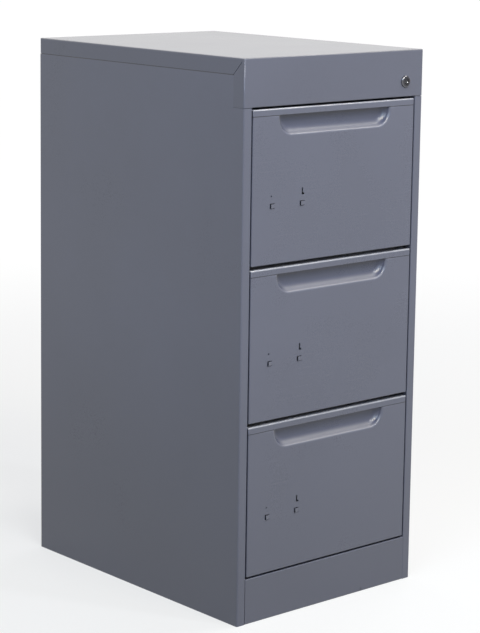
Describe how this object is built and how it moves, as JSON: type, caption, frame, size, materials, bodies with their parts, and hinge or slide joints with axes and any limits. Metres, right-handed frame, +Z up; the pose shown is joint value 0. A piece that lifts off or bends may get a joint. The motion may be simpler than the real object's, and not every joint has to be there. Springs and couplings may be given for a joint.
{
  "type": "filing cabinet",
  "caption": "Upright steel filing cabinet with lockable pull-out drawers on telescopic ball slides, recessed finger pulls and a closed plinth.",
  "frame": {"origin": "centre of the footprint, on the floor", "axes": "+Z up, +X to the right as seen from the front, drawers pull out along -Y"},
  "size_m": [0.45, 0.6135, 1.04],
  "materials": {
    "body_paint": "semi-gloss blue-grey enamel with a fine orange peel",
    "inner_paint": "thinner coat of the same enamel on the inside pieces",
    "zinc_plate": "bright zinc plate",
    "bright_chrome": "polished chrome plate"
  },
  "bodies": {
    "cabinet": {"top_cover": "body_paint", "left_side_panel": "body_paint", "right_side_panel": "body_paint", "back_panel": "body_paint", "bottom_pan": "inner_paint", "plinth_panel": "body_paint", "upper_cross_rail": "inner_paint", "lower_cross_rail": "inner_paint", "left_front_upright": "inner_paint", "right_front_upright": "inner_paint", "left_rear_upright": "inner_paint", "right_rear_upright": "inner_paint", "slide_screws": "zinc_plate", "lock_barrel": "bright_chrome", "lock_nut": "zinc_plate", "lock_bar_guides": "zinc_plate", "top_left_cabinet_member": "zinc_plate", "top_right_cabinet_member": "zinc_plate", "middle_left_cabinet_member": "zinc_plate", "middle_right_cabinet_member": "zinc_plate", "bottom_left_cabinet_member": "zinc_plate", "bottom_right_cabinet_member": "zinc_plate"},
    "top_drawer": {"top_front_panel": "body_paint", "top_pull_strip": "body_paint", "top_front_liner": "inner_paint", "top_tray": "inner_paint", "top_tray_screws": "zinc_plate", "top_left_drawer_member": "zinc_plate", "top_right_drawer_member": "zinc_plate"},
    "top_middle_members": {"top_left_middle_member": "zinc_plate", "top_right_middle_member": "zinc_plate"},
    "top_outer_cage_pair": {"top_outer_cages": "zinc_plate"},
    "top_inner_cage_pair": {"top_inner_cages": "zinc_plate"},
    "middle_drawer": {"middle_front_panel": "body_paint", "middle_pull_strip": "body_paint", "middle_front_liner": "inner_paint", "middle_tray": "inner_paint", "middle_tray_screws": "zinc_plate", "middle_left_drawer_member": "zinc_plate", "middle_right_drawer_member": "zinc_plate"},
    "middle_middle_members": {"middle_left_middle_member": "zinc_plate", "middle_right_middle_member": "zinc_plate"},
    "middle_outer_cage_pair": {"middle_outer_cages": "zinc_plate"},
    "middle_inner_cage_pair": {"middle_inner_cages": "zinc_plate"},
    "bottom_drawer": {"bottom_front_panel": "body_paint", "bottom_pull_strip": "body_paint", "bottom_front_liner": "inner_paint", "bottom_tray": "inner_paint", "bottom_tray_screws": "zinc_plate", "bottom_left_drawer_member": "zinc_plate", "bottom_right_drawer_member": "zinc_plate"},
    "bottom_middle_members": {"bottom_left_middle_member": "zinc_plate", "bottom_right_middle_member": "zinc_plate"},
    "bottom_outer_cage_pair": {"bottom_outer_cages": "zinc_plate"},
    "bottom_inner_cage_pair": {"bottom_inner_cages": "zinc_plate"},
    "lock_plug_body": {"lock_plug": "bright_chrome", "lock_cam": "zinc_plate", "lock_cam_screw": "zinc_plate"},
    "lock_bar_body": {"lock_bar": "zinc_plate"}
  },
  "joints": [
    {"name": "top_drawer_slide", "type": "slide", "parent": "cabinet", "child": "top_drawer", "axis": [0, -1, 0], "range_m": [0, 0.54]},
    {"name": "top_middle_members_slide", "type": "slide", "parent": "cabinet", "child": "top_middle_members", "axis": [0, -1, 0], "range_m": [0, 0.27]},
    {"name": "top_outer_cages_slide", "type": "slide", "parent": "cabinet", "child": "top_outer_cage_pair", "axis": [0, -1, 0], "range_m": [0, 0.135]},
    {"name": "top_inner_cages_slide", "type": "slide", "parent": "cabinet", "child": "top_inner_cage_pair", "axis": [0, -1, 0], "range_m": [0, 0.405]},
    {"name": "middle_drawer_slide", "type": "slide", "parent": "cabinet", "child": "middle_drawer", "axis": [0, -1, 0], "range_m": [0, 0.54]},
    {"name": "middle_middle_members_slide", "type": "slide", "parent": "cabinet", "child": "middle_middle_members", "axis": [0, -1, 0], "range_m": [0, 0.27]},
    {"name": "middle_outer_cages_slide", "type": "slide", "parent": "cabinet", "child": "middle_outer_cage_pair", "axis": [0, -1, 0], "range_m": [0, 0.135]},
    {"name": "middle_inner_cages_slide", "type": "slide", "parent": "cabinet", "child": "middle_inner_cage_pair", "axis": [0, -1, 0], "range_m": [0, 0.405]},
    {"name": "bottom_drawer_slide", "type": "slide", "parent": "cabinet", "child": "bottom_drawer", "axis": [0, -1, 0], "range_m": [0, 0.54]},
    {"name": "bottom_middle_members_slide", "type": "slide", "parent": "cabinet", "child": "bottom_middle_members", "axis": [0, -1, 0], "range_m": [0, 0.27]},
    {"name": "bottom_outer_cages_slide", "type": "slide", "parent": "cabinet", "child": "bottom_outer_cage_pair", "axis": [0, -1, 0], "range_m": [0, 0.135]},
    {"name": "bottom_inner_cages_slide", "type": "slide", "parent": "cabinet", "child": "bottom_inner_cage_pair", "axis": [0, -1, 0], "range_m": [0, 0.405]},
    {"name": "lock_bar_slide", "type": "slide", "parent": "cabinet", "child": "lock_bar_body", "axis": [0, 0, -1], "range_m": [0, 0.012]},
    {"name": "lock_plug_turn", "type": "hinge", "parent": "cabinet", "child": "lock_plug_body", "pos_m": [0.1785, -0.305, 0.9805], "axis": [0, 1, 0], "range_deg": [0, 90]}
  ],
  "couplings": [
    {"joint": "top_middle_members_slide", "follows": "top_drawer_slide", "ratio": 0.5},
    {"joint": "top_outer_cages_slide", "follows": "top_drawer_slide", "ratio": 0.25},
    {"joint": "top_inner_cages_slide", "follows": "top_drawer_slide", "ratio": 0.75},
    {"joint": "middle_middle_members_slide", "follows": "middle_drawer_slide", "ratio": 0.5},
    {"joint": "middle_outer_cages_slide", "follows": "middle_drawer_slide", "ratio": 0.25},
    {"joint": "middle_inner_cages_slide", "follows": "middle_drawer_slide", "ratio": 0.75},
    {"joint": "bottom_middle_members_slide", "follows": "bottom_drawer_slide", "ratio": 0.5},
    {"joint": "bottom_outer_cages_slide", "follows": "bottom_drawer_slide", "ratio": 0.25},
    {"joint": "bottom_inner_cages_slide", "follows": "bottom_drawer_slide", "ratio": 0.75},
    {"joint": "lock_plug_turn", "follows": "lock_bar_slide", "rad_per_m": 130.8}
  ]
}
